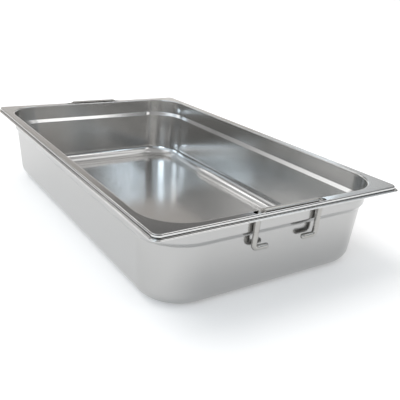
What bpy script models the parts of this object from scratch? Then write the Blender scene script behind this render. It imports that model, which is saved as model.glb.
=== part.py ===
"""A full-size gastronorm food pan in stainless steel, with a retractable wire handle at each end.

The pan is one deep-drawn sheet. Each handle is one bent wire whose grip lies half sunk in a recess of
the flange. Its legs drop through two slots in the recess's floor, and its turned-in feet stop it under
that floor when it is pulled up.
Metres, +Z up. The origin is the middle of the pan's underside, and the length runs along Y.
"""

from math import acos, cos, pi, radians, sin, sqrt, tan

import bmesh
import bpy
from mathutils import Vector

MM = 0.001

# Pan sizes
RIM_LENGTH = 530 * MM
RIM_WIDTH = 325 * MM
PAN_DEPTH = 100 * MM
SHEET = 0.8 * MM

# Rim: a stepped edge, with a lip that stands out below the flange and is turned down at its edge
LIP_WIDTH = 3.1 * MM
LIP_DROP = 4.1 * MM
LIP_FILLET = 0.9 * MM
LIP_EDGE_RADIUS = 1.1 * MM
LIP_SKIRT = 0.2 * MM
FLANGE_EDGE_RADIUS = 1.1 * MM
RIM_CORNER_RADIUS = 8 * MM
FLANGE_CORNER_RADIUS = 7.5 * MM

# Body: an upper wall, a stacking shoulder, a lower wall and a rounded floor edge
OPENING_EDGE_RADIUS = 1.7 * MM
BODY_CORNER_RADIUS = 48 * MM
UPPER_DRAFT = radians(2)
SHOULDER_DEPTH = 22.5 * MM
SHOULDER_HEIGHT = 5 * MM
SHOULDER_STEP = 2.5 * MM
SHOULDER_BEND_RADIUS = 1.6 * MM
LOWER_DRAFT = radians(3.3)
FLOOR_FILLET = 17.5 * MM

# Handles: 6 mm wire with legs that lean in towards the wall. The feet's depth is from the slots.
WIRE_DIAMETER = 6 * MM
LEG_SPACING = 83.5 * MM
GRIP_GAP = 0.4 * MM
GRIP_BEND_RADIUS = 7 * MM
FOOT_DEPTH = 37.1 * MM
FOOT_LENGTH = 19 * MM
FOOT_BEND_RADIUS = 4 * MM
HANDLE_LEAN = radians(3.7)

# Handle recesses: pressed into the flange, with a slot for each leg through the floor
RECESS_DEPTH = 3 * MM
RECESS_ROOM = 0.25 * MM
SLOT_CLEARANCE = 0.35 * MM
SLOT_END_ROOM = 3 * MM
SLOT_LAND = 0.15 * MM

# Facets
CORNER_STEPS = 10
SMALL_ARC_STEPS = 3
FLOOR_ARC_STEPS = 8
WIRE_BEND_STEPS = 6
WIRE_END_STEPS = 3
WIRE_BEVEL_RESOLUTION = 4
SLOT_SIDES = 24
SMOOTH_ANGLE = radians(35)

# Places that follow from the sizes above. An inset is measured from the rim's outer edge.
WIRE_RADIUS = WIRE_DIAMETER / 2
SLOT_WIDTH = WIRE_DIAMETER + 2 * SLOT_CLEARANCE
SLOT_LENGTH = WIRE_DIAMETER + 2 * SLOT_END_ROOM
FLAT_START = LIP_WIDTH + FLANGE_EDGE_RADIUS
FLAT_END = FLAT_START + SLOT_WIDTH + 2 * SLOT_LAND
SLOT_INSET = (FLAT_START + FLAT_END) / 2
SLOT_LEVEL = PAN_DEPTH - RECESS_DEPTH - SHEET / 2
RECESS_WIDTH = SLOT_WIDTH + 2 * RECESS_ROOM
RECESS_LENGTH = LEG_SPACING + SLOT_LENGTH + 2 * RECESS_ROOM
RECESS_BITE = SHEET / 4
WALL_INSET = FLAT_END + OPENING_EDGE_RADIUS
FLOOR_TOP = SHEET
SHOULDER_TOP = PAN_DEPTH - SHOULDER_DEPTH
SHOULDER_FOOT = SHOULDER_TOP - SHOULDER_HEIGHT
SHOULDER_INSET = WALL_INSET + SHOULDER_DEPTH * tan(UPPER_DRAFT)
LOWER_WALL_INSET = SHOULDER_INSET + SHOULDER_STEP
FLOOR_CORNER_INSET = LOWER_WALL_INSET + (SHOULDER_FOOT - FLOOR_TOP) * tan(LOWER_DRAFT)


def clear_scene():
    for old in list(bpy.data.objects):
        bpy.data.objects.remove(old, do_unlink=True)


def new_collection(name):
    collection = bpy.data.collections.new(name)
    bpy.context.scene.collection.children.link(collection)
    return collection


def steel(name, colour, roughness):
    """A Principled material for bare stainless steel."""
    material = bpy.data.materials.new(name)
    material.use_nodes = True
    shader = material.node_tree.nodes["Principled BSDF"]
    shader.inputs["Base Color"].default_value = (*colour, 1)
    shader.inputs["Metallic"].default_value = 1
    shader.inputs["Roughness"].default_value = roughness
    return material


def rounded_profile(corners):
    """Points along a line of (inset, z, bend radius, steps) corners, with each bend drawn as an arc."""
    points = []
    for index, (inset, z, radius, steps) in enumerate(corners):
        here = Vector((inset, z))
        if radius == 0:
            points.append(here)
            continue
        towards_last = (Vector(corners[index - 1][:2]) - here).normalized()
        towards_next = (Vector(corners[index + 1][:2]) - here).normalized()
        half_angle = acos(max(-1, min(1, towards_last.dot(towards_next)))) / 2
        centre = here + (towards_last + towards_next).normalized() * radius / sin(half_angle)
        start = here + towards_last * radius / tan(half_angle) - centre
        end = here + towards_next * radius / tan(half_angle) - centre
        turn = pi - 2 * half_angle
        for step in range(steps + 1):
            share = step / steps
            point = start * sin((1 - share) * turn) + end * sin(share * turn)
            points.append(centre + point / sin(turn))
    return points


def pan_profile():
    """The sheet's inner and upper side in section, from the floor's edge out to the lip."""
    lip_top = PAN_DEPTH - LIP_DROP
    corners = [
        (0, lip_top - LIP_EDGE_RADIUS - LIP_SKIRT, 0, 0),
        (0, lip_top, LIP_EDGE_RADIUS, SMALL_ARC_STEPS),
        (LIP_WIDTH, lip_top, LIP_FILLET, SMALL_ARC_STEPS),
        (LIP_WIDTH, PAN_DEPTH, FLANGE_EDGE_RADIUS, SMALL_ARC_STEPS),
        (WALL_INSET, PAN_DEPTH, OPENING_EDGE_RADIUS, SMALL_ARC_STEPS + 1),
        (SHOULDER_INSET, SHOULDER_TOP, SHOULDER_BEND_RADIUS, SMALL_ARC_STEPS),
        (LOWER_WALL_INSET, SHOULDER_FOOT, SHOULDER_BEND_RADIUS, SMALL_ARC_STEPS),
        (FLOOR_CORNER_INSET, FLOOR_TOP, FLOOR_FILLET, FLOOR_ARC_STEPS),
        (RIM_WIDTH / 2, FLOOR_TOP, 0, 0),
    ]
    return rounded_profile(corners)[-2::-1]


def plan_corner_radius(inset):
    """The corner radius in plan: tight at the rim, wide at the opening, then the body's own."""
    flat_radius = FLANGE_CORNER_RADIUS - FLANGE_EDGE_RADIUS
    opening_radius = BODY_CORNER_RADIUS + OPENING_EDGE_RADIUS
    floor_edge_start = FLOOR_CORNER_INSET - FLOOR_FILLET * tan(LOWER_DRAFT)
    if inset <= LIP_WIDTH:
        share = inset / LIP_WIDTH
        return RIM_CORNER_RADIUS + (FLANGE_CORNER_RADIUS - RIM_CORNER_RADIUS) * share
    if inset <= FLAT_START:
        return FLANGE_CORNER_RADIUS - (inset - LIP_WIDTH)
    if inset <= FLAT_END:
        share = (inset - FLAT_START) / (FLAT_END - FLAT_START)
        return flat_radius + (opening_radius - flat_radius) * share
    if inset <= WALL_INSET:
        return opening_radius - (inset - FLAT_END)
    return BODY_CORNER_RADIUS - max(inset - floor_edge_start, 0)


def ring_points(inset, z):
    """One level of the pan: a rectangle with round corners, counter-clockwise seen from above."""
    radius = plan_corner_radius(inset)
    centre_x = RIM_WIDTH / 2 - inset - radius
    centre_y = RIM_LENGTH / 2 - inset - radius
    points = []
    for quarter, (side_x, side_y) in enumerate(((1, 1), (-1, 1), (-1, -1), (1, -1))):
        for step in range(CORNER_STEPS + 1):
            angle = (quarter + step / CORNER_STEPS) * pi / 2
            x = side_x * centre_x + radius * cos(angle)
            y = side_y * centre_y + radius * sin(angle)
            points.append(Vector((x, y, z)))
    return points


def extrude_loop(mesh, loop, points):
    """Extrudes a closed loop of vertices to new places, and returns the new loop in the same order."""
    edges = [mesh.edges.get(pair) for pair in zip(loop, loop[1:] + loop[:1])]
    made = bmesh.ops.extrude_edge_only(mesh, edges=edges)
    fresh = {item for item in made["geom"] if isinstance(item, bmesh.types.BMVert)}
    ends = [[edge.other_vert(vertex) for edge in vertex.link_edges] for vertex in loop]
    new_loop = [next(vertex for vertex in linked if vertex in fresh) for linked in ends]
    for vertex, point in zip(new_loop, points):
        vertex.co = point
    return new_loop


def make_pan(collection, material):
    """The drawn sheet: a floor outline extruded ring by ring up the walls and out over the rim."""
    levels = [ring_points(point.x, point.y) for point in pan_profile()]
    mesh = bmesh.new()
    floor = bmesh.ops.create_circle(mesh, cap_ends=True, segments=len(levels[0]), radius=RIM_WIDTH)
    loop = floor["verts"]
    for vertex, point in zip(loop, levels[0]):
        vertex.co = point
    for points in levels[1:]:
        loop = extrude_loop(mesh, loop, points)
    bmesh.ops.recalc_face_normals(mesh, faces=mesh.faces)
    if max(mesh.faces, key=lambda face: face.calc_area()).normal.z < 0:
        bmesh.ops.reverse_faces(mesh, faces=mesh.faces)
    data = bpy.data.meshes.new("pan_body")
    mesh.to_mesh(data)
    mesh.free()
    data.shade_smooth()
    data.set_sharp_from_angle(angle=SMOOTH_ANGLE)
    data.materials.append(material)
    pan = bpy.data.objects.new("pan_body", data)
    collection.objects.link(pan)
    wall = pan.modifiers.new("sheet_thickness", "SOLIDIFY")
    wall.thickness = SHEET
    wall.offset = -1
    wall.use_even_offset = True
    return pan


def make_tool(name, collection, mesh):
    """Puts a mesh that shapes the pan into the scene, out of sight."""
    data = bpy.data.meshes.new(name)
    mesh.to_mesh(data)
    mesh.free()
    tool = bpy.data.objects.new(name, data)
    tool.hide_render = True
    tool.display_type = "WIRE"
    collection.objects.link(tool)
    return tool


def make_slot_tool(name, collection, length, width, height):
    """A prism with round ends about the origin, long in X."""
    mesh = bmesh.new()
    bmesh.ops.create_cone(
        mesh,
        cap_ends=True,
        segments=SLOT_SIDES,
        radius1=width / 2,
        radius2=width / 2,
        depth=height,
    )
    straight = (length - width) / 2
    for vertex in mesh.verts:
        vertex.co.x += straight if vertex.co.x > 0 else -straight
    return make_tool(name, collection, mesh)


def make_recess_block(name, collection):
    """The metal that a recess is pressed from: a bar under the flange that bites into the sheet around it."""
    mesh = bmesh.new()
    bmesh.ops.create_cube(mesh, size=1)
    length = RECESS_LENGTH + 2 * SHEET
    width = WALL_INSET - LIP_WIDTH - 2 * (SHEET - RECESS_BITE)
    height = RECESS_DEPTH + RECESS_BITE
    bmesh.ops.scale(mesh, vec=(length, width, height), verts=mesh.verts)
    return make_tool(name, collection, mesh)


def shape_pan(pan, operation, tool, place):
    """Adds a tool to the pan or cuts it out."""
    tool.location = place
    shape = pan.modifiers.new(tool.name, "BOOLEAN")
    shape.operation = operation
    shape.solver = "EXACT"
    shape.object = tool


def make_recesses(pan, collection):
    """Presses a handle's recess into each end of the flange and cuts its two slots."""
    block_y = (RIM_LENGTH - LIP_WIDTH - WALL_INSET) / 2
    block_z = PAN_DEPTH - SHEET + RECESS_BITE - (RECESS_DEPTH + RECESS_BITE) / 2
    slot_y = RIM_LENGTH / 2 - SLOT_INSET
    for end_name, end in (("front", -1), ("rear", 1)):
        block = make_recess_block(f"{end_name}_recess_block", collection)
        shape_pan(pan, "UNION", block, (0, end * block_y, block_z))
        recess = make_slot_tool(
            f"{end_name}_recess", collection, RECESS_LENGTH, RECESS_WIDTH, 2 * RECESS_DEPTH
        )
        shape_pan(pan, "DIFFERENCE", recess, (0, end * slot_y, PAN_DEPTH))
        for side_name, side in (("left", -1), ("right", 1)):
            slot = make_slot_tool(
                f"{end_name}_{side_name}_slot", collection, SLOT_LENGTH, SLOT_WIDTH, 3 * SHEET
            )
            shape_pan(pan, "DIFFERENCE", slot, (side * LEG_SPACING / 2, end * slot_y, SLOT_LEVEL))


def bend_points(centre, radius, start, end):
    """Points (x, z) along one bend of the wire, between two angles."""
    points = []
    for step in range(WIRE_BEND_STEPS + 1):
        angle = start + (end - start) * step / WIRE_BEND_STEPS
        points.append((centre[0] + radius * cos(angle), centre[1] + radius * sin(angle)))
    return points


def half_handle_path():
    """(x, z, radius share) along the wire from a foot's domed tip up to the grip's middle."""
    leg_x = LEG_SPACING / 2
    grip_z = SHEET / 2 + GRIP_GAP + WIRE_RADIUS
    tip_x = leg_x - FOOT_LENGTH
    path = []
    for step in range(WIRE_END_STEPS):
        rise = 1 - (step + 0.4) / (WIRE_END_STEPS + 0.4)
        path.append((tip_x + WIRE_RADIUS * (1 - sqrt(1 - (1 - rise) ** 2)), -FOOT_DEPTH, sqrt(1 - rise**2)))
    path.append((tip_x + WIRE_RADIUS, -FOOT_DEPTH, 1))
    foot_centre = (leg_x - FOOT_BEND_RADIUS, FOOT_BEND_RADIUS - FOOT_DEPTH)
    grip_centre = (leg_x - GRIP_BEND_RADIUS, grip_z - GRIP_BEND_RADIUS)
    bends = bend_points(foot_centre, FOOT_BEND_RADIUS, -pi / 2, 0)
    bends += bend_points(grip_centre, GRIP_BEND_RADIUS, 0, pi / 2)
    return path + [(x, z, 1) for x, z in bends]


def make_handle_wire(material):
    """The bent wire, drawn about the middle between its slots."""
    half = half_handle_path()
    path = half + [(-x, z, share) for x, z, share in reversed(half)]
    wire = bpy.data.curves.new("handle_wire", "CURVE")
    wire.dimensions = "3D"
    wire.bevel_depth = WIRE_RADIUS
    wire.bevel_resolution = WIRE_BEVEL_RESOLUTION
    wire.use_fill_caps = True
    spline = wire.splines.new("POLY")
    spline.points.add(len(path) - 1)
    for point, (x, z, share) in zip(spline.points, path):
        point.co = (x, 0, z, 1)
        point.radius = share
    wire.materials.append(material)
    return wire


def make_handles(collection, material):
    """The two handles, each lying in its recess with its feet leaning in under the rim."""
    wire = make_handle_wire(material)
    handles = []
    for name, end in (("front_handle", -1), ("rear_handle", 1)):
        handle = bpy.data.objects.new(name, wire)
        handle.location = (0, end * (RIM_LENGTH / 2 - SLOT_INSET), SLOT_LEVEL)
        handle.rotation_euler.x = -end * HANDLE_LEAN
        collection.objects.link(handle)
        handles.append(handle)
    return handles


def main():
    clear_scene()
    parts = new_collection("deli_food_pan")
    tools = new_collection("tools")
    pan = make_pan(parts, steel("drawn_steel", (0.62, 0.61, 0.59), 0.24))
    make_recesses(pan, tools)
    handles = make_handles(parts, steel("wire_steel", (0.56, 0.55, 0.53), 0.3))
    frame = bpy.data.objects.new("pan_frame", None)
    parts.objects.link(frame)
    for piece in (pan, *handles):
        piece.parent = frame


main()
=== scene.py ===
"""A full-size gastronorm food pan in satin stainless steel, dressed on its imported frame.

The pan is one deep-drawn sheet with a stepped rim. Each wire handle lies half sunk in a recess of the
flange, and its legs drop through two slots. All sizes are metres in the frame of the CAD model, whose
origin is the middle of the pan's underside.
"""

from __future__ import annotations

import logging
from dataclasses import dataclass
from enum import Enum
from math import acos, cos, pi, radians, sin, tan

import bmesh
import bpy
from mathutils import Matrix, Vector

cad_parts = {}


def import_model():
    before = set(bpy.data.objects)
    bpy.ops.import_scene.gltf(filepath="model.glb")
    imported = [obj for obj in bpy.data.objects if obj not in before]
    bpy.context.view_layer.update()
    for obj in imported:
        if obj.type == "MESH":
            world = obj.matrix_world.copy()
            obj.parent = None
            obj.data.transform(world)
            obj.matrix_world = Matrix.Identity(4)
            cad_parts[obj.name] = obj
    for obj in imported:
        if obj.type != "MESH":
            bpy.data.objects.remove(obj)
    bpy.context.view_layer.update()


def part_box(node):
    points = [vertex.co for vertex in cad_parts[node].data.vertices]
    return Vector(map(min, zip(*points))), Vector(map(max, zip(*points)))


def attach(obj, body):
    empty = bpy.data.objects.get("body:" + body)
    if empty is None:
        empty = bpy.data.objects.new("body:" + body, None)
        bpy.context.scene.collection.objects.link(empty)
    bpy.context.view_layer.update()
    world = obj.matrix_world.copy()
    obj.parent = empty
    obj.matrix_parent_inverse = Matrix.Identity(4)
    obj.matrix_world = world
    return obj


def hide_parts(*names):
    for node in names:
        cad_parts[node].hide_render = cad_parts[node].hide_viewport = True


MM = 0.001
# What a mesh carries for its steel: its place on the flat blank, its painted shade in the rim's grooves,
# the recesses and under the grip, and its outer face.
BLANK_UV = "drawn_blank"
PAINTED_SHADE_UV = "rim_groove"
OUTSIDE = "outside"
# Tints of the lamps and panels, and the height that the lamps face.
NEUTRAL = (1.0, 1.0, 1.0)
WARM = (1.07, 1.0, 0.93)
KEY_TINT = (1.0, 0.98, 0.96)
COOL = (0.85, 1.0, 1.13)
AIM_HEIGHT = 0.05

log = logging.getLogger("food_pan")

Colour = tuple[float, float, float]
Point = tuple[float, float, float]


class End(Enum):
    """A short end of the pan: its handle's node, the body that carries it and its side along Y."""

    FRONT = ("front_handle", "front_grip", -1)
    REAR = ("rear_handle", "rear_grip", 1)

    @property
    def node(self) -> str:
        """The CAD node of this end's handle."""
        return self.value[0]

    @property
    def body(self) -> str:
        """The moving body of this end's handle."""
        return self.value[1]

    @property
    def side(self) -> int:
        """The sign of this end's Y."""
        return self.value[2]


class NodeGraph:
    """A short way to place and link shader nodes."""

    def __init__(self, tree: bpy.types.NodeTree) -> None:
        """Keeps the node tree that the nodes go into.

        Args:
            tree: The node tree of a material or a world.
        """
        self.tree = tree

    def add(
        self, kind: str, inputs: dict[str | int, object] | None = None, **settings: object
    ) -> bpy.types.Node:
        """Adds one node.

        Args:
            kind: The node's type, without the ShaderNode in front.
            inputs: Values or output sockets, by input name or index.
            settings: Attributes of the node, such as an operation.

        Returns:
            The new node.
        """
        node = self.tree.nodes.new(f"ShaderNode{kind}")
        for name, value in settings.items():
            setattr(node, name, value)
        for key, value in (inputs or {}).items():
            socket = node.inputs[key]
            if isinstance(value, bpy.types.NodeSocket):
                self.tree.links.new(value, socket)
            else:
                socket.default_value = value
        return node

    def maths(self, operation: str, *values: object) -> bpy.types.NodeSocket:
        """Adds a Math node.

        Args:
            operation: The operation's name.
            values: Numbers or output sockets, in order.

        Returns:
            The node's output socket.
        """
        return self.add("Math", dict(enumerate(values)), operation=operation).outputs[0]

    def dot(self, direction: bpy.types.NodeSocket, axis: Vector) -> bpy.types.NodeSocket:
        """Adds a dot product.

        Args:
            direction: The socket of a direction.
            axis: The fixed axis.

        Returns:
            The socket of how far the direction reaches along the axis.
        """
        node = self.add("VectorMath", {0: direction, 1: axis}, operation="DOT_PRODUCT")
        return node.outputs["Value"]


@dataclass(frozen=True)
class SteelFinish:
    """Bare stainless steel with fine grain, faint clouds and painted shade in its grooves.

    A drawn sheet's grain follows its flat blank, and its outer face is painted darker: partly a duller
    outer finish, partly painted shade for the darker floor that it mirrors. A share is how bright such a
    place is beside the plain steel.
    """

    name: str
    colour: Colour
    roughness: float
    grain_across: float
    grain_along: float
    # How bright the painted shade leaves the grooves, recesses and grip beside the plain steel.
    painted_shade_share: float
    outside_share: float = 1.0
    is_drawn_sheet: bool = False
    grain_detail: float = 3.0
    grain_weight: float = 0.5
    cloud_scale: float = 14.0
    cloud_detail: float = 4.0
    low_mix: float = 0.45
    high_mix: float = 1.05
    dark_share: float = 0.97
    roughness_spread: float = 0.15
    bump_strength: float = 0.05
    bump_height: float = 0.2 * MM

    def material(self) -> bpy.types.Material:
        """Builds the material.

        Returns:
            A Principled metal whose colour, roughness and bump vary with the grain.
        """
        material = bpy.data.materials.new(self.name)
        material.use_nodes = True
        graph = NodeGraph(material.node_tree)
        place = graph.add("TexCoord").outputs["Object"]
        along = place
        if self.is_drawn_sheet:
            along = graph.add("UVMap", uv_map=BLANK_UV).outputs["UV"]
        scale = (self.grain_across, self.grain_along, self.grain_along)
        grain_place = graph.add("Mapping", {"Vector": along, "Scale": scale}).outputs[0]
        grain = graph.add(
            "TexNoise", {"Vector": grain_place, "Scale": 1.0, "Detail": self.grain_detail}
        ).outputs[0]
        clouds = graph.add(
            "TexNoise", {"Vector": place, "Scale": self.cloud_scale, "Detail": self.cloud_detail}
        ).outputs[0]
        mixed = graph.maths("MULTIPLY_ADD", grain, self.grain_weight, clouds)
        bump = graph.add(
            "Bump", {"Height": grain, "Strength": self.bump_strength, "Distance": self.bump_height}
        )
        shader = material.node_tree.nodes["Principled BSDF"]
        shader.inputs["Metallic"].default_value = 1.0
        links = material.node_tree.links
        links.new(bump.outputs[0], shader.inputs["Normal"])
        links.new(self.shade(graph, mixed), shader.inputs["Base Color"])
        links.new(self.gloss(graph, mixed), shader.inputs["Roughness"])
        return material

    def shade(self, graph: NodeGraph, mixed: bpy.types.NodeSocket) -> bpy.types.NodeSocket:
        """Adds the nodes for the colour.

        Args:
            graph: The material's node graph.
            mixed: The socket of the grain and the clouds.

        Returns:
            The colour's socket.
        """
        ramp = graph.add("ValToRGB", {"Fac": mixed})
        low, high = ramp.color_ramp.elements
        low.position = self.low_mix
        high.position = 1.0
        low.color = (*(self.dark_share * channel for channel in self.colour), 1)
        high.color = (*self.colour, 1)
        # Painted shade: this mask darkens the rim's grooves, the recesses' straight parts and the grip's
        # underside.
        painted_shade = graph.add("SeparateXYZ", {0: graph.add("UVMap", uv_map=PAINTED_SHADE_UV).outputs["UV"]})
        share = graph.maths("MULTIPLY_ADD", painted_shade.outputs["X"], self.painted_shade_share - 1, 1.0)
        # The outer face is painted darker: partly a duller finish, partly painted shade.
        if self.is_drawn_sheet:
            outside = graph.add("Attribute", attribute_name=OUTSIDE).outputs["Fac"]
            outer = graph.maths("MULTIPLY_ADD", outside, self.outside_share - 1, 1.0)
            share = graph.maths("MULTIPLY", outer, share)
        shaded = graph.add("VectorMath", {0: ramp.outputs[0], "Scale": share}, operation="SCALE")
        return shaded.outputs[0]

    def gloss(self, graph: NodeGraph, mixed: bpy.types.NodeSocket) -> bpy.types.NodeSocket:
        """Adds the nodes for the roughness.

        Args:
            graph: The material's node graph.
            mixed: The socket of the grain and the clouds.

        Returns:
            The roughness's socket.
        """
        limits = {
            "Value": mixed,
            "From Min": self.low_mix,
            "From Max": self.high_mix,
            "To Min": self.roughness * (1 - self.roughness_spread),
            "To Max": self.roughness * (1 + self.roughness_spread),
        }
        return graph.add("MapRange", limits).outputs[0]


DRAWN_STEEL = SteelFinish(
    name="drawn_steel",
    colour=(0.7, 0.695, 0.685),
    roughness=0.17,
    grain_across=900.0,
    grain_along=12.0,
    # Painted shade in the rim's grooves and the recesses.
    painted_shade_share=0.08,
    # Outer face darker: partly a duller finish, partly painted shade.
    outside_share=0.71,
    is_drawn_sheet=True,
)
WIRE_STEEL = SteelFinish(
    name="wire_steel",
    colour=(0.44, 0.43, 0.41),
    roughness=0.24,
    grain_across=300.0,
    grain_along=300.0,
    # Painted shade on the grip where it lies in its recess.
    painted_shade_share=0.03,
)


def finished_object(name: str, mesh: bmesh.types.BMesh) -> bpy.types.Object:
    """Turns a bmesh into a linked object at the origin, with its faces in the same order on every run.

    Args:
        name: The piece's name.
        mesh: The bmesh, which is freed.

    Returns:
        The new object.
    """
    ordered = sorted(mesh.faces, key=lambda face: tuple(face.calc_center_median()))
    for index, face in enumerate(ordered):
        face.index = index
    mesh.faces.sort()
    data = bpy.data.meshes.new(name)
    mesh.to_mesh(data)
    mesh.free()
    data.shade_smooth()
    piece = bpy.data.objects.new(name, data)
    bpy.context.scene.collection.objects.link(piece)
    return piece


@dataclass
class PanSheet:
    """The drawn sheet: floor, walls, stacking shoulder, flange and stepped lip in one piece.

    An inset is measured in plan from the rim's outer edge. The rim has two grooves with painted shade,
    below the flange's edge and above the lip, with an unshaded riser between them. A share is how much of
    its bend a groove's painted shade takes, and a fade is how far that shade runs out along the riser.
    """

    node: str = "pan_body"
    body: str = "pan"
    sheet: float = 0.8 * MM
    # The rim, from its outer edge inwards.
    lip_width: float = 3.1 * MM
    lip_drop: float = 4.1 * MM
    lip_fillet: float = 0.9 * MM
    lip_edge_radius: float = 1.1 * MM
    lip_skirt: float = 0.2 * MM
    # The lip's fillet gets painted shade over this share of its bend.
    lip_shade_share: float = 0.9
    lip_fade: float = 0.4 * MM
    flange_edge_radius: float = 1.1 * MM
    # The flange's edge gets painted shade over this share of its bend.
    edge_shade_share: float = 0.6
    edge_fade: float = 0.2 * MM
    rim_corner_radius: float = 8 * MM
    flange_corner_radius: float = 7.5 * MM
    flange_flat: float = 7 * MM
    opening_edge_radius: float = 1.7 * MM
    # The walls, from the opening down to the floor.
    body_corner_radius: float = 48 * MM
    upper_draft: float = radians(2)
    shoulder_depth: float = 22.5 * MM
    shoulder_height: float = 5 * MM
    shoulder_step: float = 2.5 * MM
    shoulder_bend_radius: float = 1.6 * MM
    lower_draft: float = radians(3.3)
    floor_fillet: float = 17.5 * MM
    # The handles' recesses and slots.
    slot_width: float = 6.7 * MM
    slot_length: float = 12 * MM
    slot_spacing: float = 83.5 * MM
    recess_depth: float = 3 * MM
    recess_room: float = 0.25 * MM
    # Where the recess's painted shade stops short of its ends and its top.
    recess_bright_end: float = 4 * MM
    recess_bright_top: float = 0.2 * MM
    # Cut edges and shading, how finely bends are stepped, and how near a point counts as on a surface.
    edge_break: float = 0.2 * MM
    edge_break_angle: float = radians(60)
    edge_break_steps: int = 2
    flat_face_weight: int = 100
    corner_steps: int = 28
    bend_steps: int = 7
    opening_steps: int = 10
    floor_steps: int = 20
    slot_sides: int = 40
    near: float = 0.01 * MM
    recess_near: float = 0.05 * MM

    def __post_init__(self) -> None:
        """Takes the overall sizes from the frame and works out where the profile turns."""
        low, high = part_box(self.node)
        self.half_width = (high.x - low.x) / 2
        self.half_length = (high.y - low.y) / 2
        self.depth = high.z - low.z
        self.flat_start = self.lip_width + self.flange_edge_radius
        self.flat_end = self.flat_start + self.flange_flat
        self.slot_y = self.half_length - (self.flat_start + self.flat_end) / 2
        self.slot_level = self.depth - self.recess_depth - self.sheet / 2
        self.recess_length = self.slot_spacing + self.slot_length + 2 * self.recess_room
        self.recess_width = self.slot_width + 2 * self.recess_room
        self.wall_inset = self.flat_end + self.opening_edge_radius
        self.shoulder_top = self.depth - self.shoulder_depth
        self.shoulder_foot = self.shoulder_top - self.shoulder_height
        self.shoulder_inset = self.wall_inset + self.shoulder_depth * tan(self.upper_draft)
        self.lower_inset = self.shoulder_inset + self.shoulder_step
        drop = self.shoulder_foot - self.sheet
        self.floor_corner_inset = self.lower_inset + drop * tan(self.lower_draft)

    def profile(self) -> list[Vector]:
        """Draws the upper and inner side of the sheet in section.

        Returns:
            Points (inset, z), from the floor's flat out to the lip's edge.
        """
        top = self.depth
        lip_top = top - self.lip_drop
        bend = self.bend_steps
        corners = [
            (0, lip_top - self.lip_edge_radius - self.lip_skirt, 0, 0),
            (0, lip_top, self.lip_edge_radius, bend),
            (self.lip_width, lip_top, self.lip_fillet, bend),
            (self.lip_width, lip_top + self.lip_fillet + self.lip_fade, 0, 0),
            (self.lip_width, top - self.flange_edge_radius - self.edge_fade, 0, 0),
            (self.lip_width, top, self.flange_edge_radius, bend),
            (self.wall_inset, top, self.opening_edge_radius, self.opening_steps),
            (self.shoulder_inset, self.shoulder_top, self.shoulder_bend_radius, bend),
            (self.lower_inset, self.shoulder_foot, self.shoulder_bend_radius, bend),
            (self.floor_corner_inset, self.sheet, self.floor_fillet, self.floor_steps),
            (self.half_width, self.sheet, 0, 0),
        ]
        points: list[Vector] = []
        for index, (inset, z, radius, steps) in enumerate(corners):
            here = Vector((inset, z))
            if radius == 0:
                points.append(here)
                continue
            last = Vector(corners[index - 1][:2])
            following = Vector(corners[index + 1][:2])
            points += self.bend_points(last, here, following, radius, steps)
        return points[-2::-1]

    @staticmethod
    def bend_points(
        last: Vector, here: Vector, following: Vector, radius: float, steps: int
    ) -> list[Vector]:
        """Rounds one corner of the section.

        Args:
            last: The corner before.
            here: The corner to round.
            following: The corner after.
            radius: The bend's radius.
            steps: How many facets the bend has.

        Returns:
            Points along the arc.
        """
        back = (last - here).normalized()
        ahead = (following - here).normalized()
        half_angle = acos(max(-1.0, min(1.0, back.dot(ahead)))) / 2
        centre = here + (back + ahead).normalized() * radius / sin(half_angle)
        start = here + back * radius / tan(half_angle) - centre
        end = here + ahead * radius / tan(half_angle) - centre
        turn = pi - 2 * half_angle
        points = []
        for step in range(steps + 1):
            share = step / steps
            spoke = start * sin((1 - share) * turn) + end * sin(share * turn)
            points.append(centre + spoke / sin(turn))
        return points

    def corner_radius(self, inset: float) -> float:
        """Gives the corner radius in plan.

        Args:
            inset: The distance in from the rim's outer edge.

        Returns:
            A radius that is tight at the rim, wide at the opening and then the body's own.
        """
        flat_radius = self.flange_corner_radius - self.flange_edge_radius
        opening_radius = self.body_corner_radius + self.opening_edge_radius
        floor_edge = self.floor_corner_inset - self.floor_fillet * tan(self.lower_draft)
        if inset <= self.lip_width:
            share = inset / self.lip_width
            return self.rim_corner_radius * (1 - share) + self.flange_corner_radius * share
        if inset <= self.flat_start:
            return self.flange_corner_radius - (inset - self.lip_width)
        if inset <= self.flat_end:
            share = (inset - self.flat_start) / self.flange_flat
            return flat_radius + (opening_radius - flat_radius) * share
        if inset <= self.wall_inset:
            return opening_radius - (inset - self.flat_end)
        return self.body_corner_radius - max(inset - floor_edge, 0)

    def ring(self, inset: float, z: float) -> list[Vector]:
        """Lays out one level of the pan.

        Args:
            inset: The distance in from the rim's outer edge.
            z: The level's height.

        Returns:
            Points round a rectangle with rounded corners, counter-clockwise from above.
        """
        radius = self.corner_radius(inset)
        centre_x = self.half_width - inset - radius
        centre_y = self.half_length - inset - radius
        points = []
        for quarter, (side_x, side_y) in enumerate(((1, 1), (-1, 1), (-1, -1), (1, -1))):
            for step in range(self.corner_steps + 1):
                angle = (quarter + step / self.corner_steps) * pi / 2
                x = side_x * centre_x + radius * cos(angle)
                y = side_y * centre_y + radius * sin(angle)
                points.append(Vector((x, y, z)))
        return points

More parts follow.
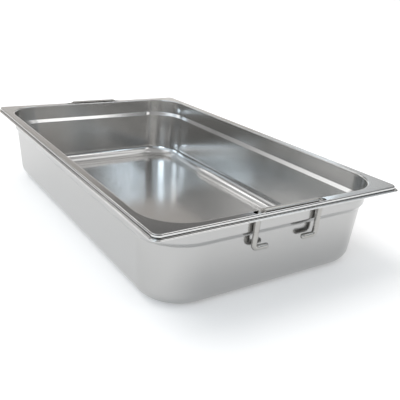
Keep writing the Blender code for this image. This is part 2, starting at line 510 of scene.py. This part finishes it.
    @staticmethod
    def extrude_loop(
        mesh: bmesh.types.BMesh, loop: list[bmesh.types.BMVert], points: list[Vector]
    ) -> list[bmesh.types.BMVert]:
        """Extrudes a closed loop of vertices and moves the new loop into place.

        Args:
            mesh: The bmesh that holds the loop.
            loop: The loop's vertices in order.
            points: Where the new vertices go.

        Returns:
            The new loop's vertices in the same order.
        """
        edges = [mesh.edges.get(pair) for pair in zip(loop, loop[1:] + loop[:1])]
        made = bmesh.ops.extrude_edge_only(mesh, edges=edges)
        fresh = {item for item in made["geom"] if isinstance(item, bmesh.types.BMVert)}
        ends = [[edge.other_vert(vertex) for edge in vertex.link_edges] for vertex in loop]
        new_loop = [next(vertex for vertex in linked if vertex in fresh) for linked in ends]
        for vertex, point in zip(new_loop, points):
            vertex.co = point
        return new_loop

    def build(self) -> bpy.types.Object:
        """Models the sheet: the floor's outline extruded ring by ring up the walls and over the rim.

        Returns:
            The pan, with its thickness, recesses and slots.
        """
        profile = self.profile()
        levels = [self.ring(point.x, point.y) for point in profile]
        mesh = bmesh.new()
        floor = bmesh.ops.create_circle(mesh, cap_ends=True, segments=len(levels[0]), radius=1)
        loop = floor["verts"]
        for vertex, point in zip(loop, levels[0]):
            vertex.co = point
        for points in levels[1:]:
            loop = self.extrude_loop(mesh, loop, points)
        bmesh.ops.recalc_face_normals(mesh, faces=mesh.faces)
        if max(mesh.faces, key=lambda face: face.calc_area()).normal.z < 0:
            bmesh.ops.reverse_faces(mesh, faces=mesh.faces)
        self.unroll(mesh, profile)
        pan = finished_object("steel_pan", mesh)
        # A second slot tells the outer face from the inner one until the recesses are pressed.
        for _ in range(2):
            pan.data.materials.append(None)
        wall = pan.modifiers.new("sheet_thickness", "SOLIDIFY")
        wall.thickness = self.sheet
        wall.offset = -1
        wall.use_even_offset = True
        wall.material_offset = 1
        self.press_recesses(pan)
        return pan

    def unroll(self, mesh: bmesh.types.BMesh, profile: list[Vector]) -> None:
        """Maps each vertex to its place on the flat blank, so that the grain follows the drawn sheet.

        Args:
            mesh: The open sheet.
            profile: The section that its rings follow.
        """
        run = [0.0]
        for last, here in zip(profile, profile[1:]):
            run.append(run[-1] + (here - last).length)
        count = 4 * (self.corner_steps + 1)
        first = self.ring(profile[0].x, profile[0].y)
        blank_layer = mesh.loops.layers.uv.new(BLANK_UV)
        painted_shade_layer = mesh.loops.layers.uv.new(PAINTED_SHADE_UV)
        mesh.verts.index_update()
        for face in mesh.faces:
            for corner in face.loops:
                level, step = divmod(corner.vert.index, count)
                quarter, turn = divmod(step, self.corner_steps + 1)
                angle = (quarter + turn / self.corner_steps) * pi / 2
                out = Vector((cos(angle), sin(angle))) * run[level]
                corner[blank_layer].uv = first[step].xy + out
                corner[painted_shade_layer].uv = (self.painted_shade(profile[level]), 0)

    def painted_shade(self, point: Vector) -> float:
        """Tells where the rim's two grooves are, which get painted shade.

        Args:
            point: A point (inset, z) of the section.

        Returns:
            1 in the fillet above the lip and below the flange's edge, and 0 elsewhere.
        """
        edge = Vector((self.flat_start, self.depth - self.flange_edge_radius))
        fillet = Vector((self.lip_width - self.lip_fillet, self.depth - self.lip_drop + self.lip_fillet))
        bends = (
            (edge, self.flange_edge_radius, self.edge_shade_share),
            (fillet, self.lip_fillet, self.lip_shade_share),
        )
        for centre, radius, share in bends:
            spoke = point - centre
            if abs(spoke.length - radius) < self.near and abs(spoke.y) < share * radius:
                return 1.0
        return 0.0

    def slot_tool(self, length: float, width: float, height: float, place: Vector) -> bpy.types.Object:
        """Makes a prism with round ends, long in X.

        Args:
            length: Its size along X.
            width: Its size along Y.
            height: Its size along Z.
            place: Its middle.

        Returns:
            The prism.
        """
        mesh = bmesh.new()
        bmesh.ops.create_cone(
            mesh,
            cap_ends=True,
            segments=self.slot_sides,
            radius1=width / 2,
            radius2=width / 2,
            depth=height,
        )
        for sign in (-1, 1):
            half = [vertex for vertex in mesh.verts if vertex.co.x * sign > 0]
            bmesh.ops.translate(mesh, verts=half, vec=(sign * (length - width) / 2, 0, 0))
        bmesh.ops.translate(mesh, verts=mesh.verts, vec=place)
        return finished_object("slot_tool", mesh)

    def recess_block(self, side: int) -> bpy.types.Object:
        """Makes the metal that a recess is pressed from: a bar that bites into the sheet around it.

        Args:
            side: The sign of the end's Y.

        Returns:
            The bar.
        """
        bite = self.sheet / 4
        length = self.recess_length + 2 * self.sheet
        width = self.wall_inset - self.lip_width - 2 * (self.sheet - bite)
        height = self.recess_depth + bite
        middle_y = self.half_length - (self.lip_width + self.wall_inset) / 2
        place = (0, side * middle_y, self.depth - self.sheet + bite - height / 2)
        mesh = bmesh.new()
        bmesh.ops.create_cube(mesh, size=1)
        bmesh.ops.scale(mesh, vec=(length, width, height), verts=mesh.verts)
        bmesh.ops.translate(mesh, verts=mesh.verts, vec=place)
        return finished_object("recess_block", mesh)

    def recess_tools(self) -> list[tuple[str, bpy.types.Object]]:
        """Makes the shapes that form a handle's recess and its two slots at each end.

        Returns:
            Each shape after the name of the boolean operation that it is for.
        """
        tools = []
        for end in End:
            y = end.side * self.slot_y
            tools.append(("UNION", self.recess_block(end.side)))
            middle = Vector((0, y, self.depth))
            recess = self.slot_tool(self.recess_length, self.recess_width, 2 * self.recess_depth, middle)
            tools.append(("DIFFERENCE", recess))
            for side in (-1, 1):
                place = Vector((side * self.slot_spacing / 2, y, self.slot_level))
                slot = self.slot_tool(self.slot_length, self.slot_width, 3 * self.sheet, place)
                tools.append(("DIFFERENCE", slot))
        return tools

    def press_recesses(self, pan: bpy.types.Object) -> None:
        """Presses a handle's recess into each end of the flange and cuts its two slots.

        Args:
            pan: The pan with its live modifiers, which are applied.
        """
        tools = self.recess_tools()
        for operation, tool in tools:
            shape = pan.modifiers.new(tool.name, "BOOLEAN")
            shape.operation = operation
            shape.solver = "EXACT"
            shape.object = tool
        graph = bpy.context.evaluated_depsgraph_get()
        cut = bpy.data.meshes.new_from_object(pan.evaluated_get(graph))
        pan.modifiers.clear()
        pan.data = cut
        for _, tool in tools:
            bpy.data.objects.remove(tool, do_unlink=True)
        self.mark_outside(cut)
        self.paint_recess_shade(cut)

    @staticmethod
    def mark_outside(mesh: bpy.types.Mesh) -> None:
        """Notes which faces are on the outer side, whose steel is painted darker, and leaves one material
        slot in use.

        Args:
            mesh: The pan's mesh, whose outer faces have the second slot.
        """
        outside = mesh.attributes.new(OUTSIDE, "FLOAT", "FACE")
        for face in mesh.polygons:
            outside.data[face.index].value = face.material_index
            face.material_index = 0

    def paint_recess_shade(self, mesh: bpy.types.Mesh) -> None:
        """Paints shade on the straight part of each recess, where the grip keeps the light out.

        Args:
            mesh: The pan's mesh.
        """
        painted_shade = mesh.uv_layers[PAINTED_SHADE_UV].data
        for face in mesh.polygons:
            x, y, z = face.center
            in_length = abs(x) < self.slot_spacing / 2 - self.recess_bright_end
            in_width = abs(abs(y) - self.slot_y) < self.recess_width / 2 + self.recess_near
            in_depth = self.recess_bright_top < self.depth - z < self.recess_depth + 2 * self.recess_near
            if in_length and in_width and in_depth:
                for index in face.loop_indices:
                    painted_shade[index].uv = (1, 0)

    def dress(self, pan: bpy.types.Object, steel: bpy.types.Material) -> None:
        """Finishes the pan and puts it on its body.

        Args:
            pan: The pan.
            steel: Its material.
        """
        pan.data.materials.clear()
        pan.data.materials.append(steel)
        broken = pan.modifiers.new("edge_break", "BEVEL")
        broken.width = self.edge_break
        broken.segments = self.edge_break_steps
        broken.limit_method = "ANGLE"
        broken.angle_limit = self.edge_break_angle
        smooth = pan.modifiers.new("flat_faces_first", "WEIGHTED_NORMAL")
        smooth.weight = self.flat_face_weight
        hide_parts(self.node)
        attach(pan, self.body)


@dataclass
class WireHandle:
    """One drop handle: a grip, two legs and two turned-in feet, bent from round wire.

    The grip has painted shade where the recess's walls keep the light out, between two heights that are
    given in wire radii from its middle.
    """

    end: End
    pan: PanSheet
    wire: float = 5.97 * MM
    lean: float = radians(3.7)
    grip_gap: float = 0.4 * MM
    grip_bend_radius: float = 7 * MM
    foot_depth: float = 37.1 * MM
    foot_bend_radius: float = 4 * MM
    foot_length: float = 19 * MM
    # Painted shade on the grip: its heights in wire radii from the middle, and how far past the bends it
    # reaches.
    grip_shade_low: float = -1.1
    grip_shade_high: float = 0.35
    grip_shade_past: float = 1 * MM
    sides: int = 32
    bend_steps: int = 14
    tip_steps: int = 8
    mirror_merge: float = 0.01 * MM
    double_merge: float = 0.001 * MM

    def __post_init__(self) -> None:
        """Works out the wire's bends about the middle between its slots."""
        self.radius = self.wire / 2
        self.leg_x = self.pan.slot_spacing / 2
        self.grip_x = self.leg_x - self.grip_bend_radius
        self.grip_z = self.pan.sheet / 2 + self.grip_gap + self.radius
        self.foot_z = -self.foot_depth
        slots = Matrix.Translation((0, self.end.side * self.pan.slot_y, self.pan.slot_level))
        self.place = slots @ Matrix.Rotation(-self.end.side * self.lean, 4, "X")

    @staticmethod
    def push(
        mesh: bmesh.types.BMesh, ring: list[bmesh.types.BMEdge], move: Point
    ) -> list[bmesh.types.BMEdge]:
        """Extrudes the wire's open end straight on.

        Args:
            mesh: The wire's bmesh.
            ring: The edges of its open end.
            move: How far the end goes.

        Returns:
            The edges of the new end.
        """
        made = bmesh.ops.extrude_edge_only(mesh, edges=ring)["geom"]
        verts = [item for item in made if isinstance(item, bmesh.types.BMVert)]
        bmesh.ops.translate(mesh, verts=verts, vec=move)
        fresh = set(verts)
        return [
            item
            for item in made
            if isinstance(item, bmesh.types.BMEdge) and all(v in fresh for v in item.verts)
        ]

    def bend(
        self, mesh: bmesh.types.BMesh, ring: list[bmesh.types.BMEdge], centre: Point
    ) -> list[bmesh.types.BMEdge]:
        """Bends the wire's open end by a quarter turn in the handle's plane.

        Args:
            mesh: The wire's bmesh.
            ring: The edges of its open end.
            centre: The middle of the bend.

        Returns:
            The edges of the new end.
        """
        verts = list(dict.fromkeys(vertex for edge in ring for vertex in edge.verts))
        made = bmesh.ops.spin(
            mesh,
            geom=verts + ring,
            cent=centre,
            axis=(0, 1, 0),
            angle=pi / 2,
            steps=self.bend_steps,
        )
        return [item for item in made["geom_last"] if isinstance(item, bmesh.types.BMEdge)]

    def build(self) -> bpy.types.Object:
        """Models the wire: half of it is extruded and spun from the grip's middle, then mirrored.

        Returns:
            The handle.
        """
        mesh = bmesh.new()
        upright = Matrix.Translation((0, 0, self.grip_z)) @ Matrix.Rotation(pi / 2, 4, "Y")
        start = bmesh.ops.create_circle(
            mesh, segments=self.sides, radius=self.radius, matrix=upright
        )
        ring = list(dict.fromkeys(edge for vertex in start["verts"] for edge in vertex.link_edges))
        shoulder_z = self.grip_z - self.grip_bend_radius
        heel_x = self.leg_x - self.foot_bend_radius
        heel_z = self.foot_z + self.foot_bend_radius
        tip_x = self.leg_x - self.foot_length
        ring = self.push(mesh, ring, (self.grip_x, 0, 0))
        ring = self.bend(mesh, ring, (self.grip_x, 0, shoulder_z))
        ring = self.push(mesh, ring, (0, 0, heel_z - shoulder_z))
        ring = self.bend(mesh, ring, (heel_x, 0, heel_z))
        ring = self.push(mesh, ring, (tip_x + self.radius - heel_x, 0, 0))
        self.dome(mesh, ring, tip_x + self.radius)
        half = mesh.verts[:] + mesh.edges[:] + mesh.faces[:]
        bmesh.ops.mirror(mesh, geom=half, axis="X", merge_dist=self.mirror_merge)
        bmesh.ops.remove_doubles(mesh, verts=mesh.verts, dist=self.double_merge)
        bmesh.ops.recalc_face_normals(mesh, faces=mesh.faces)
        self.paint_grip_shade(mesh)
        bmesh.ops.transform(mesh, matrix=self.place, verts=mesh.verts)
        return finished_object(f"{self.end.name.lower()}_wire_handle", mesh)

    def dome(
        self, mesh: bmesh.types.BMesh, ring: list[bmesh.types.BMEdge], centre_x: float
    ) -> None:
        """Rounds off a foot's tip.

        Args:
            mesh: The wire's bmesh.
            ring: The edges of the foot's open end.
            centre_x: Where the round end starts.
        """
        reach = 0.0
        width = 1.0
        for step in range(1, self.tip_steps):
            angle = step / self.tip_steps * pi / 2
            ring = self.push(mesh, ring, (reach - self.radius * sin(angle), 0, 0))
            reach = self.radius * sin(angle)
            verts = list(dict.fromkeys(vertex for edge in ring for vertex in edge.verts))
            share = cos(angle) / width
            width = cos(angle)
            middle = Matrix.Translation((-centre_x, 0, -self.foot_z))
            bmesh.ops.scale(mesh, vec=(1, share, share), space=middle, verts=verts)
        bmesh.ops.edgeloop_fill(mesh, edges=ring)

    def paint_grip_shade(self, mesh: bmesh.types.BMesh) -> None:
        """Paints shade on the part of the grip that lies between the recess's walls.

        Args:
            mesh: The whole wire, before it is put in place.
        """
        low = self.grip_z + self.grip_shade_low * self.radius
        high = self.grip_z + self.grip_shade_high * self.radius
        layer = mesh.loops.layers.uv.new(PAINTED_SHADE_UV)
        for face in mesh.faces:
            for corner in face.loops:
                place = corner.vert.co
                is_shaded = low < place.z < high and abs(place.x) < self.grip_x + self.grip_shade_past
                corner[layer].uv = (float(is_shaded), 0)

    def dress(self, handle: bpy.types.Object, steel: bpy.types.Material) -> None:
        """Finishes the handle and puts it on its body.

        Args:
            handle: The handle.
            steel: Its material.
        """
        handle.data.materials.append(steel)
        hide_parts(self.end.node)
        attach(handle, self.end.body)


@dataclass(frozen=True)
class Softbox:
    """A rectangular soft lamp that faces the pan.

    Its azimuth runs in degrees from +Y towards +X, and its level is its brightness as the steel mirrors it,
    where 1 is white.
    """

    name: str
    azimuth: float
    elevation: float
    distance: float
    width: float
    height: float
    level: float
    tint: Colour = NEUTRAL

    def hang(self) -> None:
        """Adds the lamp to the scene."""
        data = bpy.data.lights.new(self.name, "AREA")
        data.shape = "RECTANGLE"
        data.size = self.width
        data.size_y = self.height
        data.energy = self.level * pi * self.width * self.height
        data.color = self.tint
        lamp = bpy.data.objects.new(self.name, data)
        turn = Matrix.Rotation(-radians(self.azimuth), 4, "Z")
        lift = Matrix.Rotation(radians(self.elevation), 4, "X")
        away = Matrix.Translation((0, self.distance, 0)) @ Matrix.Rotation(-pi / 2, 4, "X")
        lamp.matrix_world = Matrix.Translation((0, 0, AIM_HEIGHT)) @ turn @ lift @ away
        bpy.context.scene.collection.objects.link(lamp)


@dataclass(frozen=True)
class GlowPanel:
    """A large far part of the surround with soft edges that is brighter than the rest.

    Angles are in degrees. The azimuth runs from +Y towards +X.
    """

    name: str
    azimuth: float
    elevation: float
    half_width: float
    half_height: float
    edge: float
    level: float
    tint: Colour = NEUTRAL

    def light(self, graph: NodeGraph, direction: bpy.types.NodeSocket) -> bpy.types.NodeSocket:
        """Adds the nodes for the panel's light.

        Args:
            graph: The world's node graph.
            direction: The socket of the direction that is looked at.

        Returns:
            The socket of the panel's light in that direction.
        """
        lift = Matrix.Rotation(radians(self.elevation), 3, "X")
        across, ahead, up = (Matrix.Rotation(-radians(self.azimuth), 3, "Z") @ lift).col
        depth = graph.dot(direction, ahead)
        fades = []
        for axis, half in ((across, self.half_width), (up, self.half_height)):
            offset = graph.maths("ABSOLUTE", graph.dot(direction, axis))
            fade = graph.add(
                "MapRange",
                {
                    "Value": graph.maths("ARCTAN2", offset, depth),
                    "From Min": radians(half - self.edge),
                    "From Max": radians(half + self.edge),
                    "To Min": 1.0,
                    "To Max": 0.0,
                },
                interpolation_type="SMOOTHSTEP",
            )
            fades.append(fade.outputs[0])
        colour = [self.level * channel for channel in self.tint]
        mask = graph.maths("MULTIPLY", *fades)
        glow = graph.add("VectorMath", {0: colour, "Scale": mask}, operation="SCALE", label=self.name)
        return glow.outputs[0]


GLOW_PANELS = (
    GlowPanel("overhead_fill", -45, 58, 30, 14, 8, 0.45, NEUTRAL),
    GlowPanel("overhead_right", 85, 69, 12, 6, 4, 0.65, NEUTRAL),
    GlowPanel("right_band", 100, 50, 30, 9, 5, 0.9, NEUTRAL),
    GlowPanel("left_fill", -95, 38, 36, 16, 6, 0.58, COOL),
    GlowPanel("right_fill", 127, 22, 8, 6, 3, 1.1, COOL),
    GlowPanel("back_right_box", 32, 47, 13, 5, 3, 1.1, NEUTRAL),
    GlowPanel("right_back_fill", 49, 20, 6, 3, 3, 0.45, COOL),
    GlowPanel("back_left_box", -10, 31, 14, 4, 2, 1.8, NEUTRAL),
    GlowPanel("back_box", 10, 53, 13, 5, 3, 0.8, NEUTRAL),
    GlowPanel("left_back_fill", -52, 25, 12, 6, 7, 1.5, NEUTRAL),
    GlowPanel("back_left_fill", -22, 15, 7, 6, 3, 0.75, NEUTRAL),
    GlowPanel("front_left_fill", -153, 28, 11, 5, 3, 0.65, COOL),
)

# How bright the dome is, by height, from the white horizon up to its top.
DOME_STOPS = ((0.17, 1.0), (0.2, 0.12), (0.55, 0.18), (0.85, 0.45))

SOFTBOXES = (
    Softbox("backdrop_card", 29, 12.5, 1.17, 2.6, 0.62, 0.3, WARM),
    Softbox("front_right_lamp", 143.5, 29, 1.2, 0.14, 0.14, 2.7, COOL),
    Softbox("front_right_strip", 153, 41.5, 1.35, 0.4, 0.24, 1.8, NEUTRAL),
    Softbox("left_front_lamp", -120, 28, 1.5, 0.7, 0.35, 2.5, COOL),
    Softbox("right_back_lamp", 53, 22, 1.3, 0.3, 0.14, 1.3, COOL),
    Softbox("back_strip", -13, 40, 1.6, 0.28, 0.2, 2.0, NEUTRAL),
)


@dataclass
class Studio:
    """A pale floor, soft light all round and the camera at the photograph's viewing angle."""

    panels: tuple[GlowPanel, ...] = GLOW_PANELS
    softboxes: tuple[Softbox, ...] = SOFTBOXES
    key_azimuth: float = -35.0
    key_elevation: float = 58.0
    key_level: float = 1.0
    key_spread: float = radians(40)
    dome_stops: tuple[tuple[float, float], ...] = DOME_STOPS
    floor_size: float = 200.0
    floor_gap: float = 0.3 * MM
    floor_white: float = 0.92
    floor_roughness: float = 0.9
    floor_glow: float = 0.25
    camera_place: Point = (-0.3625, -0.6215, 0.2988)
    camera_yaw: float = radians(33.34)
    camera_pitch: float = radians(21.68)
    camera_roll: float = radians(3.84)
    lens: float = 48.24
    sensor: float = 36.0
    shift_x: float = 0.025
    near_clip: float = 0.01

    def build(self) -> None:
        """Sets up the floor, the world, the lamps and the camera."""
        self.build_floor()
        self.build_world()
        for softbox in self.softboxes:
            softbox.hang()
        self.build_key()
        self.build_camera()
        bpy.context.scene.view_settings.view_transform = "Standard"

    def build_floor(self) -> None:
        """Lays a large white floor just under the pan."""
        mesh = bmesh.new()
        bmesh.ops.create_grid(mesh, x_segments=1, y_segments=1, size=self.floor_size / 2)
        bmesh.ops.translate(mesh, verts=mesh.verts, vec=(0, 0, -self.floor_gap))
        floor = finished_object("studio_floor", mesh)
        material = bpy.data.materials.new("floor_paper")
        material.use_nodes = True
        shader = material.node_tree.nodes["Principled BSDF"]
        shader.inputs["Base Color"].default_value = (*(self.floor_white,) * 3, 1)
        shader.inputs["Roughness"].default_value = self.floor_roughness
        shader.inputs["Specular IOR Level"].default_value = 0.0
        graph = NodeGraph(material.node_tree)
        path = graph.add("LightPath").outputs
        seen = graph.maths("MAXIMUM", path["Is Camera Ray"], path["Is Glossy Ray"])
        seen = graph.maths("MAXIMUM", seen, path["Is Transmission Ray"])
        glow = graph.maths("MULTIPLY", seen, self.floor_glow)
        shader.inputs["Emission Color"].default_value = (1, 1, 1, 1)
        material.node_tree.links.new(glow, shader.inputs["Emission Strength"])
        floor.data.materials.append(material)

    def build_world(self) -> None:
        """Makes a dim dome that is white at the horizon, with the glowing panels on it."""
        world = bpy.data.worlds.new("soft_dome")
        world.use_nodes = True
        bpy.context.scene.world = world
        graph = NodeGraph(world.node_tree)
        direction = graph.add("TexCoord").outputs["Generated"]
        height = graph.add("SeparateXYZ", {0: direction}).outputs["Z"]
        ramp = graph.add("ValToRGB", {"Fac": height})
        for place, level in self.dome_stops:
            stop = ramp.color_ramp.elements.new(place)
            stop.color = (level, level, level, 1)
        ramp.color_ramp.elements.remove(ramp.color_ramp.elements[0])
        ramp.color_ramp.elements.remove(ramp.color_ramp.elements[-1])
        total = ramp.outputs[0]
        for panel in self.panels:
            light = panel.light(graph, direction)
            total = graph.add("VectorMath", {0: total, 1: light}, operation="ADD").outputs[0]
        background = world.node_tree.nodes["Background"]
        world.node_tree.links.new(total, background.inputs["Color"])
        background.inputs["Strength"].default_value = 1.0

    def build_key(self) -> None:
        """Adds the soft key light from behind on the left, which the steel doesn't mirror."""
        data = bpy.data.lights.new("soft_key", "SUN")
        data.energy = self.key_level
        data.color = KEY_TINT
        data.angle = self.key_spread
        key = bpy.data.objects.new("soft_key", data)
        lift = Matrix.Rotation(radians(self.key_elevation), 4, "X")
        turn = Matrix.Rotation(-radians(self.key_azimuth), 4, "Z")
        key.matrix_world = turn @ lift @ Matrix.Rotation(-pi / 2, 4, "X")
        key.visible_glossy = False
        bpy.context.scene.collection.objects.link(key)

    def build_camera(self) -> None:
        """Places the camera as fitted to the rim's edges in the photograph."""
        data = bpy.data.cameras.new("photo_camera")
        data.lens = self.lens
        data.sensor_width = self.sensor
        data.shift_x = self.shift_x
        data.clip_start = self.near_clip
        camera = bpy.data.objects.new("photo_camera", data)
        turn = Matrix.Rotation(-self.camera_yaw, 4, "Z")
        tilt = Matrix.Rotation(pi / 2 - self.camera_pitch, 4, "X")
        roll = Matrix.Rotation(self.camera_roll, 4, "Z")
        camera.matrix_world = Matrix.Translation(self.camera_place) @ turn @ tilt @ roll
        bpy.context.scene.collection.objects.link(camera)
        bpy.context.scene.camera = camera


def main() -> None:
    """Loads the frame, builds and dresses each piece, and sets up the studio."""
    logging.basicConfig(level=logging.INFO, format="%(name)s: %(message)s")
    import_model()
    drawn_steel = DRAWN_STEEL.material()
    wire_steel = WIRE_STEEL.material()
    sheet = PanSheet()
    pan = sheet.build()
    sheet.dress(pan, drawn_steel)
    log.info("%s: %d faces", pan.name, len(pan.data.polygons))
    for end in End:
        wire = WireHandle(end, sheet)
        handle = wire.build()
        wire.dress(handle, wire_steel)
        log.info("%s: %d faces", handle.name, len(handle.data.polygons))
    Studio().build()


if __name__ == "__main__":
    main()
